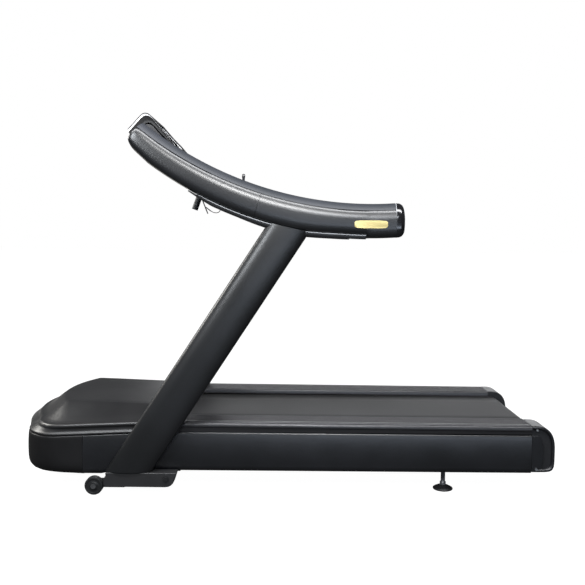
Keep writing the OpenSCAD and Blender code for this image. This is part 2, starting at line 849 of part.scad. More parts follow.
module tube(p, r, n) {
    rings = len(p);
    points = [for (i = [0 : rings - 1]) each ring(p, i, r, n)];
    walls = [for (i = [0 : rings - 2], k = [0 : n - 1])
        [i * n + k, i * n + (k + 1) % n, (i + 1) * n + (k + 1) % n, (i + 1) * n + k]];
    start = [for (k = [0 : n - 1]) n - 1 - k];
    end = [for (k = [0 : n - 1]) (rings - 1) * n + k];
    polyhedron(points, concat(walls, [start, end]));
}

module safety_lanyard()
    color("#1a1a1a") tube(lanyard, lanyard_r, 8);

frame_side(-1);  // frame_side_left
frame_side(1);  // frame_side_right
frame_cross_members();
running_deck();
deck_cushions();
running_belt();
front_roller();
rear_roller();
roller_axles();
roller_bearings();
tension_bolts();
drive_motor();
motor_rotor();
motor_flywheel();
drive_belt();
motor_bracket();
motor_controller();
lift_frame();
lift_pivot_bolts();
front_wheel(-1);  // front_wheel_left
front_wheel(1);  // front_wheel_right
wheel_axles();
lift_actuator();
lift_tube();
hood_cover();
lower_cover();
side_panel(-1);  // side_panel_left
side_panel(1);  // side_panel_right
foot_rail(-1);  // foot_rail_left
foot_rail(1);  // foot_rail_right
rear_end_caps();
rear_cross_cover();
cap_screws();
power_inlet();
rear_foot(-1);  // rear_foot_left
rear_foot(1);  // rear_foot_right
foot_lock_nuts();
post(-1);  // post_left
post(1);  // post_right
post_brackets();
post_bolts();
arm_front(-1);  // arm_front_left
arm_front(1);  // arm_front_right
arm_rear(-1);  // arm_rear_left
arm_rear(1);  // arm_rear_right
arm_caps();
console_housing();
display_lens();
keypad();
console_trim();
accessory_tray();
bottle_wells();
hand_bar();
joystick(-stick_y);  // joystick_left
joystick(stick_y);  // joystick_right
stop_switch();
stop_button();
safety_clip();
safety_lanyard();
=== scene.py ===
from math import cos, pi, radians, sin, sqrt

import bmesh
import bpy
from mathutils import Matrix, Vector


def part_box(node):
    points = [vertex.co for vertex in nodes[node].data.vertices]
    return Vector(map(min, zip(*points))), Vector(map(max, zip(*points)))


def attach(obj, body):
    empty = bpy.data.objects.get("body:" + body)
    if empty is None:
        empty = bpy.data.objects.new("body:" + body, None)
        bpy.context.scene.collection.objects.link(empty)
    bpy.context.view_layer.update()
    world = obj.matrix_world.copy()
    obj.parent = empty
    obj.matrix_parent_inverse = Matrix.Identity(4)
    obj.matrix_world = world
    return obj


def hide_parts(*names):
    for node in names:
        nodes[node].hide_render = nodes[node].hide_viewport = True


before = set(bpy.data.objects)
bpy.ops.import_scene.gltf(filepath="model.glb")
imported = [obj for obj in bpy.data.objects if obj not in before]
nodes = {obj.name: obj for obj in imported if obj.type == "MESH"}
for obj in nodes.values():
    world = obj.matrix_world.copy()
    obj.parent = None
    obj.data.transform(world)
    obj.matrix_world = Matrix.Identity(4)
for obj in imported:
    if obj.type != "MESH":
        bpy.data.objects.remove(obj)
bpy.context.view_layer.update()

scene = bpy.context.scene
SIDES = (("left", -1), ("right", 1))


# ---- Camera ----
# A 46 mm lens about three metres from the left side, a little below the hand rails.
# It looks down by four degrees and leans by half a degree.
camera = bpy.data.objects.new("camera", bpy.data.cameras.new("camera"))
camera.data.lens = 45.975
camera.data.sensor_width = 36
tilt = Matrix.Rotation(radians(90 - 4.008), 4, "X") @ Matrix.Rotation(radians(0.474), 4, "Z")
camera.matrix_world = Matrix.Translation((0.043, -3.233, 0.979)) @ tilt
scene.collection.objects.link(camera)
scene.camera = camera


# ---- Safety lanyard ----
# A thin braided cord that hangs in a small loop from the clip to a reel inside the tray.
# It is a swept tube, and its braid is a fine diagonal weave.
def linear(code):
    """An sRGB hex colour such as #1c1e21 as linear red, green, blue and alpha."""
    parts = [int(code[i:i + 2], 16) / 255 for i in (1, 3, 5)]
    return [p / 12.92 if p <= 0.04045 else ((p + 0.055) / 1.055) ** 2.4 for p in parts] + [1.0]


def add_node(tree, kind, values=None, links=None, **settings):
    """Adds a node with its settings, the values of its sockets and the links into them."""
    node = tree.nodes.new(kind)
    for key, value in settings.items():
        setattr(node, key, value)
    for socket, value in (values or {}).items():
        node.inputs[socket].default_value = value
    for socket, source in (links or {}).items():
        tree.links.new(source, node.inputs[socket])
    return node


def start_material(name, **values):
    """A new material, its tree, its shader with these socket values, and object coordinates."""
    material = bpy.data.materials.new(name)
    material.use_nodes = True
    tree = material.node_tree
    shader = tree.nodes["Principled BSDF"]
    for socket, value in values.items():
        shader.inputs[socket.replace("_", " ")].default_value = value
    place = add_node(tree, "ShaderNodeTexCoord").outputs["Object"]
    return material, tree, shader, place


def two_tones(tree, factor, dark, light, start=0.0, end=1.0):
    """A colour that goes from dark to light while a factor goes from start to end."""
    ramp = add_node(tree, "ShaderNodeValToRGB", links={"Fac": factor})
    for element, position, code in zip(ramp.color_ramp.elements, (start, end), (dark, light)):
        element.position = position
        element.color = linear(code)
    return ramp.outputs["Color"]


def bumps(tree, factor, strength, distance):
    """A shading normal that stands a factor out as relief."""
    bump = add_node(tree, "ShaderNodeBump", {"Strength": strength, "Distance": distance}, {"Height": factor})
    return bump.outputs["Normal"]


def connect(tree, shader, **sources):
    """Links the shader's sockets to their sources."""
    for socket, source in sources.items():
        tree.links.new(source, shader.inputs[socket.replace("_", " ")])


def braided_polyester():
    """Matt black braid: strands cross every 2 mm and catch a little light on their crowns."""
    material, tree, shader, place = start_material("braided_polyester", Roughness=0.8)
    weave = add_node(tree, "ShaderNodeTexWave", {"Scale": 160.0, "Distortion": 1.5},
                     {"Vector": place}, bands_direction="DIAGONAL").outputs["Fac"]
    connect(tree, shader, Base_Color=two_tones(tree, weave, "#111112", "#26272a"),
            Normal=bumps(tree, weave, 0.6, 0.0003))
    return material


LANYARD_ROUTE = [(-0.311, 0, 1.101), (-0.306, 0, 1.098), (-0.300, 0, 1.0955), (-0.294, 0, 1.094),
                 (-0.288, 0, 1.0935), (-0.282, 0, 1.0945), (-0.277, 0, 1.097), (-0.273, 0, 1.101),
                 (-0.2705, 0, 1.106), (-0.2695, 0, 1.112), (-0.2695, 0, 1.118), (-0.2695, 0, 1.124)]
LANYARD_R = 0.0016
curve = bpy.data.curves.new("lanyard", "CURVE")
curve.dimensions = "3D"
curve.bevel_depth = LANYARD_R
curve.bevel_resolution = 3
curve.use_fill_caps = True
spline = curve.splines.new("POLY")
spline.points.add(len(LANYARD_ROUTE) - 1)
for point, spot in zip(spline.points, LANYARD_ROUTE):
    point.co = (*spot, 1)
lanyard = bpy.data.objects.new("lanyard", curve)
scene.collection.objects.link(lanyard)
curve.materials.append(braided_polyester())
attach(lanyard, "frame")
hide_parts("safety_lanyard")


# ---- Running belt ----
# An endless belt of black PVC on woven polyester, 2.6 mm thick, round both rollers.
# Its face has a fine diamond print, and its tone varies a little in soft random patches.
def publish(bm, name, material, body, slot, *cad_nodes, bevel=0.0, sharp=40, wall=0.0):
    """Makes a piece of a finished bmesh, with its edges and body, and hides the CAD nodes it stands for; slot
    is not used.
    """
    bmesh.ops.remove_doubles(bm, verts=bm.verts, dist=2e-6)
    bmesh.ops.recalc_face_normals(bm, faces=bm.faces)
    mesh = bpy.data.meshes.new(name)
    bm.to_mesh(mesh)
    bm.free()
    for face in mesh.polygons:
        face.use_smooth = True
    mesh.set_sharp_from_angle(angle=radians(sharp))
    mesh.materials.append(material)
    piece = bpy.data.objects.new(name, mesh)
    scene.collection.objects.link(piece)
    if wall:
        solid = piece.modifiers.new("wall", "SOLIDIFY")
        solid.thickness = wall
        solid.offset = -1
    if bevel:
        edge = piece.modifiers.new("edges", "BEVEL")
        edge.width = bevel
        edge.segments = 3
        edge.limit_method = "ANGLE"
        edge.angle_limit = radians(sharp)
        edge.harden_normals = True
    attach(piece, body)
    if cad_nodes:
        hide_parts(*cad_nodes)
    return piece


def loft(bm, sections, caps=True):
    """Joins closed sections, lists of points of one length, into a skin, and caps its ends."""
    rings = []
    for points in sections:
        verts = [bm.verts.new(p) for p in points]
        rings.append([bm.edges.new((a, b)) for a, b in zip(verts, verts[1:] + verts[:1])])
    for one, two in zip(rings, rings[1:]):
        bmesh.ops.bridge_loops(bm, edges=one + two)
    if caps:
        for ring in (rings[0], rings[-1]):
            bmesh.ops.contextual_create(bm, geom=ring)


def belt_pvc():
    """Black PVC with a printed diamond relief. The real one has a 3 mm pitch; it is drawn at 7 mm."""
    material, tree, shader, place = start_material("belt_pvc", Roughness=0.62, Specular_IOR_Level=0.35)
    turned = add_node(tree, "ShaderNodeMapping", {"Rotation": (0, 0, pi / 4), "Scale": (140, 140, 140)},
                      {"Vector": place})
    diamonds = add_node(tree, "ShaderNodeTexChecker", {"Scale": 1.0}, {"Vector": turned.outputs["Vector"]})
    worn = add_node(tree, "ShaderNodeTexNoise", {"Scale": 3.0, "Detail": 4.0}, {"Vector": place})
    connect(tree, shader, Base_Color=two_tones(tree, worn.outputs["Fac"], "#232324", "#2b2b2c", 0.3, 0.7),
            Normal=bumps(tree, diamonds.outputs["Fac"], 0.25, 0.0004))
    return material


low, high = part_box("running_belt")
belt_r = (high.z - low.z) / 2
belt_z = (high.z + low.z) / 2
front_x = low.x + belt_r
rear_x = high.x - belt_r
BELT_T = 0.0026
BELT_TURN = 40
BELT_LENGTHS = 12
bm = bmesh.new()
strip = [bm.verts.new((front_x, y, high.z)) for y in (low.y, low.y / 2, 0, high.y / 2, high.y)]
edges = [bm.edges.new(pair) for pair in zip(strip, strip[1:])]
for x in [front_x + (rear_x - front_x) * i / BELT_LENGTHS for i in range(1, BELT_LENGTHS + 1)]:
    step = bmesh.ops.extrude_edge_only(bm, edges=edges)["geom"]
    edges = [g for g in step if isinstance(g, bmesh.types.BMEdge)]
    for vert in [g for g in step if isinstance(g, bmesh.types.BMVert)]:
        vert.co.x = x
turn = bmesh.ops.spin(bm, geom=edges, cent=(rear_x, 0, belt_z), axis=(0, 1, 0), angle=pi, steps=BELT_TURN)
edges = [g for g in turn["geom_last"] if isinstance(g, bmesh.types.BMEdge)]
step = bmesh.ops.extrude_edge_only(bm, edges=edges)["geom"]
edges = [g for g in step if isinstance(g, bmesh.types.BMEdge)]
for vert in [g for g in step if isinstance(g, bmesh.types.BMVert)]:
    vert.co.x = front_x
bmesh.ops.spin(bm, geom=edges, cent=(front_x, 0, belt_z), axis=(0, 1, 0), angle=pi, steps=BELT_TURN)
publish(bm, "belt", belt_pvc(), "frame", "belt_rubber", "running_belt", wall=BELT_T)


# ---- Foot rails ----
# Extruded aluminium, anodised black, with ribs along the tread and a round bead outside.
# Each one sits on the side rail's outer web and covers the belt's edge.
def drawn_lines(tree, place, scale, detail=3.0):
    """A factor for tool marks: noise with its own number of marks a metre along each axis."""
    along = add_node(tree, "ShaderNodeMapping", {"Scale": scale}, {"Vector": place})
    return add_node(tree, "ShaderNodeTexNoise", {"Scale": 1.0, "Detail": detail},
                    {"Vector": along.outputs["Vector"]}).outputs["Fac"]


def mapped(tree, factor, low, high, start=0.0, end=1.0):
    """A value that goes from low to high while a factor goes from start to end."""
    return add_node(tree, "ShaderNodeMapRange",
                    {"From Min": start, "From Max": end, "To Min": low, "To Max": high},
                    {"Value": factor}).outputs["Result"]


def anodised_aluminium():
    """Black anodised extrusion: drawn lines run along X and streak its sheen."""
    material, tree, shader, place = start_material("anodised_aluminium", Metallic=0.35,
                                                   Specular_IOR_Level=0.4)
    lines = drawn_lines(tree, place, (4, 700, 700))
    connect(tree, shader, Base_Color=two_tones(tree, lines, "#262627", "#37373a"),
            Roughness=mapped(tree, lines, 0.24, 0.36), Normal=bumps(tree, lines, 0.08, 0.0002))
    return material


RIBS = 8
RIB_PITCH = 0.0118
RIB_START = 0.272
RIB_HEIGHT = 0.0016
RAIL_INNER = 0.0825
RAIL_DROP = 0.003
DROP_ABOVE = 0.24
rail_metal = anodised_aluminium()
low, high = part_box("foot_rail_right")
top = high.z - 0.0008
tread = [(low.y, low.z + RAIL_INNER), (low.y, top - 0.005), (low.y + 0.002, top - 0.0015),
         (low.y + 0.006, top)]
for i in range(RIBS):
    rib = RIB_START + i * RIB_PITCH
    tread += [(rib, top), (rib + 0.0022, top - RIB_HEIGHT), (rib + 0.0052, top - RIB_HEIGHT),
              (rib + 0.0074, top)]
bead = [(0.3735, top), (0.3765, top - 0.0015), (0.378, top - 0.0055), (0.3805, top - 0.0068),
        (0.3828, top - 0.0050), (0.3845, top - 0.0020), (0.3870, top - 0.0003), (0.3895, top),
        (0.3925, top - 0.0008), (0.3952, top - 0.0027), (0.3973, top - 0.0052), (0.3988, top - 0.0085),
        (0.3996, top - 0.0120), (0.3996, top - 0.0165), (0.3980, top - 0.0195), (0.3950, top - 0.0205),
        (0.3925, 0.2375), (0.361, 0.2375), (0.361, low.z), (0.355, low.z), (0.355, low.z + RAIL_INNER)]
for side, sign in SIDES:
    bm = bmesh.new()
    ends = [[(x, sign * y, z + lift * (z > DROP_ABOVE)) for y, z in tread + bead]
            for x, lift in ((low.x, RAIL_DROP), (high.x, -RAIL_DROP))]
    loft(bm, ends)
    publish(bm, "foot_rail_tread_" + side, rail_metal, "frame", "rail_aluminium",
            "foot_rail_" + side, sharp=50)


# ---- Side panels ----
# Long ABS mouldings, slightly bowed, with a rounded upper edge that catches the light.
# They clip on below the foot rails, run forward under the hood, and reach lower ahead of the
# post's foot. A short cover below each one hides the lift lever's hanger.
def moulded_plastic(name, dark, light, roughness, spread=0.05, grain=0.9, relief=0.12, specular=0.4,
                    coat=0.0, patch=180):
    """Moulded ABS: soft patches of tone, and a spark-eroded grain, grain and patch in millimetres."""
    material, tree, shader, place = start_material(name, Specular_IOR_Level=specular, Coat_Weight=coat,
                                                   Coat_Roughness=0.15)
    patches = add_node(tree, "ShaderNodeTexNoise", {"Scale": 1000 / patch, "Detail": 3.0}, {"Vector": place})
    grains = add_node(tree, "ShaderNodeTexNoise", {"Scale": 1000 / grain, "Detail": 2.0}, {"Vector": place})
    tone = patches.outputs["Fac"]
    connect(tree, shader, Base_Color=two_tones(tree, tone, dark, light, 0.3, 0.7),
            Roughness=mapped(tree, tone, roughness - spread, roughness + spread, 0.3, 0.7),
            Normal=bumps(tree, grains.outputs["Fac"], relief, 0.0003))
    return material


WAIST_Z = 0.222
WAIST_RISE = 0.046
WAIST_FRONT = -0.90
SEAM_GAP = 0.0008
HOOD_REAR = -0.4304


def waist(x):
    """Height of the seam between hood and lower covers: it rises gently towards the rear."""
    level = WAIST_Z + WAIST_RISE * (max(x, WAIST_FRONT) + 0.75)
    return level + (WAIST_Z - level) * min(1, max(0, (WAIST_FRONT - x) / 0.14))


def panel_top(x):
    """Height of a side panel's upper edge."""
    if x <= HOOD_REAR:
        return waist(x) - SEAM_GAP
    return 0.2362 - 0.0040 * (x - HOOD_REAR) / 1.4


panel_abs = moulded_plastic("moulded_abs_blue_black", "#0d0e10", "#121316", 0.33, 0.03, specular=0.55)
low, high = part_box("side_panel_right")
bottom = low.z - 0.0025
PANEL_STEPS = 24
POST_FOOT_FRONT = -0.66
FRONT_FOOT_Z = 0.0705
LIP = [(-0.655, 0.0885), (-0.650, 0.0735), (-0.642, 0.0715), (-0.468, 0.0715), (-0.458, 0.0760),
       (-0.455, 0.0885)]
for side, sign in SIDES:
    sections = []
    for i in range(PANEL_STEPS + 1):
        x = low.x + (high.x - low.x) * i / PANEL_STEPS
        foot = FRONT_FOOT_Z if x < POST_FOOT_FRONT else bottom
        rise = panel_top(x) - foot
        shape = [(0.361, 0), (0.388, 0), (0.3935, 0.0012), (0.3965, 0.004)]
        shape += [(0.3992 - 0.0062 * abs(t / 10 - 0.42) ** 2 / 0.336, 0.006 + (rise - 0.012) * t / 10)
                  for t in range(1, 11)]
        shape += [(0.3922, rise - 0.0028), (0.3908, rise - 0.0008), (0.3885, rise), (0.3865, rise - 0.001),
                  (0.3865, 0.004), (0.361, 0.004)]
        sections.append([(x, sign * y, foot + z) for y, z in shape])
    bm = bmesh.new()
    loft(bm, sections)
    publish(bm, "side_skirt_" + side, panel_abs, "frame", "panel_plastic", "side_panel_" + side, sharp=50)
    bm = bmesh.new()
    loft(bm, [[(x, sign * y, z) for x, z in LIP] for y in (0.3915, 0.3970)])
    publish(bm, "hanger_cover_" + side, panel_abs, "frame", "panel_plastic", bevel=0.001)


# ---- Rear end caps ----
# Moulded corner covers: a flush inner panel, a dark recess and a rim that carries the
# foot rail's bead down round the end. They hide the rear roller's axle.
def superellipse(angle, a, b, power):
    """A point of a rounded rectangle of half sizes a and b at an angle."""
    c, s = cos(angle), sin(angle)
    return (a * abs(c) ** (2 / power) * (1 if c >= 0 else -1),
            b * abs(s) ** (2 / power) * (1 if s >= 0 else -1))


CAP_CENTRE = (0.985, 0.172)
CAP_LENGTH = 0.077
CAP_RISE = 0.098
CAP_FALL = 0.0815
CAP_STEPS = 28


def cap_curve(inset):
    """The cap's rear outline in X and Z, from its top to its bottom, moved inwards."""
    points = []
    for i in range(CAP_STEPS + 1):
        angle = pi / 2 - pi * i / CAP_STEPS
        tall, power = (CAP_RISE, 2.6) if angle >= 0 else (CAP_FALL, 6)
        dx, dz = superellipse(angle, CAP_LENGTH - inset, tall - inset, power)
        points.append((CAP_CENTRE[0] + dx, CAP_CENTRE[1] + dz))
    return points


cap_abs = moulded_plastic("moulded_abs_black", "#161617", "#1c1d1f", 0.38)
low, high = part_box("rear_end_caps")
RIM_SHAPE = [(0.0, 0.386), (0.0, 0.3955), (0.002, 0.3985), (0.0055, 0.3998), (0.009, 0.3985),
             (0.0115, 0.395), (0.012, 0.386)]
INSERT = [(low.x, low.z), (low.x, 0.2325), (0.995, 0.2325), (1.003, 0.229), (1.010, 0.218),
          (1.015, 0.202), (1.018, 0.175), (1.018, 0.143), (1.014, 0.115), (1.007, low.z)]
for side, sign in SIDES:
    bm = bmesh.new()
    outline = [(low.x, CAP_CENTRE[1] + CAP_RISE)] + cap_curve(0.0) + [(low.x, CAP_CENTRE[1] - CAP_FALL)]
    loft(bm, [[(x, sign * y, z) for x, z in outline] for y in (0.2725, 0.330, 0.3885)])
    publish(bm, "end_cap_" + side, cap_abs, "frame", "cap_plastic", "rear_end_caps", bevel=0.004, sharp=50)
    bm = bmesh.new()
    curves = {inset: [(low.x, CAP_CENTRE[1] + CAP_RISE - inset)] + cap_curve(inset) for inset, _ in RIM_SHAPE}
    loft(bm, [[(curves[inset][i][0], sign * y, curves[inset][i][1]) for inset, y in RIM_SHAPE]
              for i in range(CAP_STEPS + 2)])
    publish(bm, "end_cap_rim_" + side, panel_abs, "frame", "cap_plastic", sharp=60)
    bm = bmesh.new()
    loft(bm, [[(x, sign * y, z) for x, z in INSERT] for y in (0.386, 0.3965)])
    publish(bm, "end_cap_insert_" + side, panel_abs, "frame", "cap_plastic", bevel=0.0025, sharp=50)

low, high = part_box("rear_cross_cover")
GUARD = [(1.028, 0.186), (1.043, 0.1855), (1.051, 0.181), (1.0555, 0.171), (1.055, 0.140), (1.052, 0.117),
         (1.047, 0.102), (1.038, 0.095), (1.020, 0.092), (0.960, 0.092), (0.960, 0.096), (1.019, 0.0965),
         (1.035, 0.099), (1.043, 0.105), (1.048, 0.119), (1.051, 0.140), (1.0515, 0.170), (1.048, 0.178),
         (1.042, 0.1815), (1.028, 0.182)]
bm = bmesh.new()
loft(bm, [[(x, y, z) for x, z in GUARD] for y in (low.y, 0, high.y)])
publish(bm, "rear_guard", cap_abs, "frame", "lower_plastic", "rear_cross_cover", sharp=45)


# ---- Hood ----
# One large ABS moulding over the motor. Its flat top falls away in a bowed nose and two
# sloped sides, and a bead and a groove run round it above the seam.
def nose_ring(x_front, half_width, z, bow, x_rear):
    """Half-closed plan outline: bowed nose, elliptical corners, straight sides to x_rear."""
    corner_y = min(0.25, half_width - 0.004)
    corner_x = x_front + bow - sqrt(bow * bow - corner_y * corner_y)
    deep = (half_width - corner_y) * 0.85 + 0.006
    half = [(x_front + bow - sqrt(bow * bow - y * y), y) for y in [corner_y * i / 10 for i in range(10)]]
    for i in range(7):
        turn = pi / 2 * i / 6
        half.append((corner_x + deep * (1 - cos(turn)), corner_y + (half_width - corner_y) * sin(turn)))
    start = half[-1][0]
    half += [(start + (x_rear - start) * i / 6, half_width) for i in range(1, 7)]
    return [(x, -y, z) for x, y in reversed(half[1:])] + [(x, y, z) for x, y in half]


HOOD_LEVELS = [(-1.0580, 0.3935, 0.0000), (-1.0610, 0.3965, 0.0010), (-1.0625, 0.3985, 0.0032),
               (-1.0625, 0.3988, 0.0065), (-1.0605, 0.3975, 0.0098), (-1.0570, 0.3945, 0.0122),
               (-1.0520, 0.3932, 0.0160), (-1.0400, 0.3925, 0.0255), (-1.0360, 0.3935, 0.0285),
               (-1.0335, 0.3965, 0.0305), (-1.0310, 0.3985, 0.0335), (-1.0285, 0.3990, 0.0370),
               (-1.0245, 0.3980, 0.0412), (-1.0195, 0.3950, 0.0440), (-1.0140, 0.3905, 0.0450),
               (-1.0080, 0.3850, 0.0462), (-0.9920, 0.3670, 0.0535), (-0.9710, 0.3350, 0.0680),
               (-0.9520, 0.3000, 0.0815), (-0.9340, 0.2700, 0.0925), (-0.9255, 0.2560, 0.0968),
               (-0.9190, 0.2500, 0.0980), (-0.9100, 0.2450, 0.0988), (-0.8600, 0.2100, 0.0998)]


def hood_point(x, y, z):
    """Puts a hood point, given above the seam, at its height: seam and flat top both slope."""
    share = min(1, max(0, (z - 0.045) / 0.05))
    crown = -0.036 * (max(-0.833, x) + 0.69)
    return (x, y, waist(x) * (1 - share) + (WAIST_Z + crown) * share + z)


NOSE_BOW = 0.62
hood_abs = moulded_plastic("moulded_abs_charcoal", "#151516", "#1b1b1c", 0.40, 0.03, relief=0.1,
                           specular=0.55)
bm = bmesh.new()
rings = []
for x_front, half_width, z in HOOD_LEVELS:
    bow = NOSE_BOW - 0.9 * z
    verts = [bm.verts.new(hood_point(*p)) for p in nose_ring(x_front, half_width, z, bow, HOOD_REAR)]
    rings.append([bm.edges.new(pair) for pair in zip(verts, verts[1:])])
for one, two in zip(rings, rings[1:]):
    bmesh.ops.bridge_loops(bm, edges=one + two)
bmesh.ops.contextual_create(bm, geom=rings[-1])
rear = [v for v in bm.verts if abs(v.co.x - HOOD_REAR) < 1e-5]
right = sorted([v for v in rear if v.co.y > 0], key=lambda v: v.co.z)
left = sorted([v for v in rear if v.co.y < 0], key=lambda v: -v.co.z)
SLOT_Y = 0.263
SLOT_Z = 0.262
slot_verts = [bm.verts.new((HOOD_REAR, y, z)) for y, z in
              ((-SLOT_Y, left[-1].co.z), (-SLOT_Y, SLOT_Z), (SLOT_Y, SLOT_Z), (SLOT_Y, right[0].co.z))]
bm.faces.new(right + left + slot_verts)
publish(bm, "hood_shell", hood_abs, "frame", "hood_plastic", "hood_cover", sharp=60, wall=0.0035)


# ---- Lower cover ----
# The tub under the hood. It closes the motor bay from below and curves up to the seam,
# where a lip answers the hood's.
TUB_LEVELS = [(-1.0580, 0.3955, 0.0), (-1.0615, 0.3980, -0.0012), (-1.0640, 0.3988, -0.0045),
              (-1.0655, 0.3990, -0.015), (-1.0675, 0.3990, -0.045), (-1.0680, 0.3990, -0.072),
              (-1.0676, 0.3988, -0.098), (-1.0655, 0.3982, -0.115), (-1.0605, 0.3962, -0.1285),
              (-1.0525, 0.3920, -0.1395), (-1.0400, 0.3850, -0.1465), (-1.0210, 0.3755, -0.1505),
              (-0.9850, 0.3620, -0.1530), (-0.9200, 0.3400, -0.1545)]
TUB_REAR = -0.7645
TUB_FOLLOW = 0.08
tub_abs = moulded_plastic("moulded_abs_black_matt", "#0e0e0f", "#131314", 0.46, 0.04, specular=0.3)
bm = bmesh.new()
sections = []
for x_front, half_width, z in TUB_LEVELS:
    follow = 1 - min(1, -z / TUB_FOLLOW)
    ring = nose_ring(x_front, half_width, 0, NOSE_BOW, TUB_REAR)
    sections.append([(x, y, (waist(x) - SEAM_GAP) * follow + (WAIST_Z - SEAM_GAP) * (1 - follow) + z
                      - 0.006 * (1 - follow) * max(0, x + 0.9) / 0.14) for x, y, _ in ring])
loft(bm, sections)
publish(bm, "motor_tub", tub_abs, "frame", "lower_plastic", "lower_cover", sharp=60)


# ---- Posts ----
# Oval steel tubes, powder coated, that lean back from the base to the hand rails.
# Each is a stack of ovals: the lowest is level, above the lift lever, and the top one is cut
# along the hand rail's underside, found by closing in on it from a first guess.
def powder_coat(name, dark, light, roughness, specular=0.42):
    """Satin powder coat on steel: faint orange peel at 2 mm, even tone."""
    return moulded_plastic(name, dark, light, roughness, 0.03, grain=2.0, relief=0.05, specular=specular,
                           patch=260)


POST_LEAN = 0.6494
POST_HALF = 0.0886
POST_FOOT = (-0.572, 0.103)
LEDGE_CENTRE = (0.330, 2.388)
LEDGE_R = 1.3955
POST_STEPS = 14
post_steel = powder_coat("powder_coat_black", "#0d0e0f", "#121315", 0.35, 0.5)
low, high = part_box("post_right")
post_y = (low.y + high.y) / 2
for side, sign in SIDES:
    ring = [superellipse(2 * pi * k / 64, POST_HALF, (high.y - low.y) / 2, 2.35) for k in range(64)]
    tops = []
    for dx, dy in ring:
        z = 1.04
        for _ in range(8):
            across = LEDGE_CENTRE[0] - (POST_FOOT[0] + POST_LEAN * (z - POST_FOOT[1]) + dx)
            z = LEDGE_CENTRE[1] - sqrt(LEDGE_R * LEDGE_R - across * across)
        tops.append(z)
    bm = bmesh.new()
    sections = []
    for share in [i / POST_STEPS for i in range(POST_STEPS + 1)]:
        heights = [low.z + (z - low.z) * share for z in tops]
        sections.append([(POST_FOOT[0] + POST_LEAN * (z - POST_FOOT[1]) + dx, sign * (post_y + dy), z)
                         for (dx, dy), z in zip(ring, heights)])
    loft(bm, sections)
    publish(bm, "post_tube_" + side, post_steel, "frame", "post_paint", "post_" + side, sharp=50)


# ---- Hand rails ----
# Two-part lacquered shells on a curved steel core: front and rear shells meet at a seam,
# a soft strip covers the top, a glossy cap closes the end and a liner runs underneath.
ARM_CENTRE = (0.330, 2.487)
ARM_TOP_R = 1.370
ARM_LOW = (2.388, 1.400)
ARM_T = 0.129
ARM_MID = 0.415
ARM_W = 0.100
STRIP = 0.027
SEAM = 16.9
REAR_ANGLE = -3.9
NOSE = [((-0.4810, 1.3505), (-0.5260, 1.2850)), ((-0.5020, 1.3665), (-0.5400, 1.2975)),
        ((-0.5210, 1.3805), (-0.5510, 1.3085)), ((-0.5345, 1.3885), (-0.5585, 1.3180)),
        ((-0.5470, 1.3825), (-0.5635, 1.3270)), ((-0.5555, 1.3720), (-0.5668, 1.3345)),
        ((-0.5620, 1.3605), (-0.5682, 1.3410))]
NOSE_WIDTHS = (1, 1, 1, 0.99, 0.97, 0.93, 0.85)


def arm_depth(angle):
    """Thickness of a hand rail at an angle from straight down, about the upper curve's centre."""
    drop = ARM_CENTRE[1] - ARM_LOW[0]
    return drop * cos(angle) + sqrt(ARM_LOW[1] ** 2 - (drop * sin(angle)) ** 2) - ARM_TOP_R


def arm_point(angle, depth):
    """X and Z at a depth below the upper curve; angles are positive towards the front."""
    r = ARM_TOP_R + depth
    return (ARM_CENTRE[0] - r * sin(angle), ARM_CENTRE[1] - r * cos(angle))


def shell_bottom(angle):
    """Depth of the shells' underside, which is let in for the liner behind the post."""
    t = (min(1, max(0, (radians(12) - angle) / radians(9)))
         * min(1, max(0, (angle - radians(0.1)) / radians(0.4))))
    return arm_depth(angle) - 0.011 * t * t * (3 - 2 * t)


def arm_side(start, end):
    """One side of a hand rail's section, (depth share, half width share), between two shares."""
    points = []
    for k in range(25):
        turn = pi / 2 * (k / 12 - 1)
        power = 2.0 if turn < 0 else 4.0
        depth = 0.5 + 0.5 * abs(sin(turn)) ** (2 / power) * (1 if turn > 0 else -1)
        points.append((depth, 0.5 * cos(turn) ** (2 / power)))
    return [((d - start) / (end - start), a) for d, a in points if start <= d <= end + 1e-9]


def arm_ring(ends, shape, sign, width=1.0):
    """A closed section between a top and a bottom point, from one side's shape."""
    top, bottom = ends
    both = shape + [(d, -a) for d, a in reversed(shape)]
    return [(top[0] + (bottom[0] - top[0]) * d, sign * (ARM_MID + a * ARM_W * width),
             top[1] + (bottom[1] - top[1]) * d) for d, a in both]


def arm_stations(start, end, steps, top_depth, bottom_depth):
    """Pairs of top and bottom points between two angles in degrees."""
    angles = [radians(start + (end - start) * i / steps) for i in range(steps + 1)]
    return [(arm_point(a, top_depth), arm_point(a, bottom_depth(a))) for a in angles]


seam_share = STRIP / ARM_T
body_side = arm_side(seam_share + 0.01, 1)
body_side = [(0.0, body_side[0][1] * 0.93)] + body_side
strip_side = arm_side(0, seam_share - 0.01)
strip_side += [(1.0, strip_side[-1][1] * 0.985)]
arm_lacquer = moulded_plastic("satin_lacquer_graphite", "#111214", "#151618", 0.31, 0.01, grain=8.0,
                              relief=0.004, specular=0.6, patch=300)
strip_rubber = moulded_plastic("soft_touch_elastomer", "#272a2e", "#2e3035", 0.5, 0.03, grain=3.0,
                               relief=0.04, specular=0.4)
gloss_abs = moulded_plastic("polished_abs_black", "#0d0d0f", "#121214", 0.16, 0.03, grain=4.0,
                            relief=0.01, specular=0.5, coat=0.3)
# Pale grey is painted light: the thin ring at each hand rail's end and the bead along its underside are
# painted highlight lines.
pale_highlight_abs = moulded_plastic("moulded_abs_painted_highlight", "#8d8f92", "#9a9c9f", 0.35, 0.04)
END_X = 0.4272
END_Z = 1.0558
END_LENGTH = 0.0337
END_STEPS = 12
LINER_STEPS = 48
